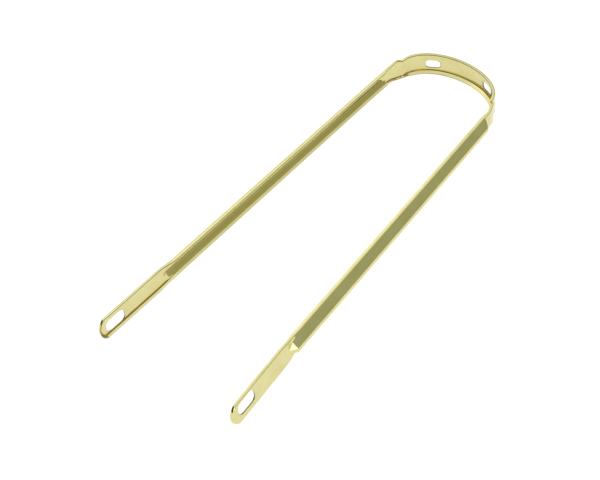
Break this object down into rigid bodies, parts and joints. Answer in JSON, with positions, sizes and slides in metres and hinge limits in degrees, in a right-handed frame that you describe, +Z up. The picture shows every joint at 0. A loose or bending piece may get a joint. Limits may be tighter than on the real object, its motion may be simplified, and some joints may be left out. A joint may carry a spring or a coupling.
{
  "type": "bicycle fender brace",
  "caption": "U-shaped stamped strip that holds a bicycle fender: slotted arch over the fender, ridged legs, and flat slotted tabs that go over the wheel axle",
  "frame": {"origin": "bottom centre of the bounding box: the brace lies on its edge with the middle of its length and width at the origin", "axes": "+Y points from the axle tabs to the crown of the arch, X runs across from leg to leg, +Z is up, across the width of the strip"},
  "size_m": [0.0998, 0.2843, 0.0173],
  "materials": {
    "gold_plated_steel": "bright gold-coloured plating on pressed sheet steel"
  },
  "bodies": {
    "root": {"fender_brace": "gold_plated_steel"}
  },
  "joints": []
}
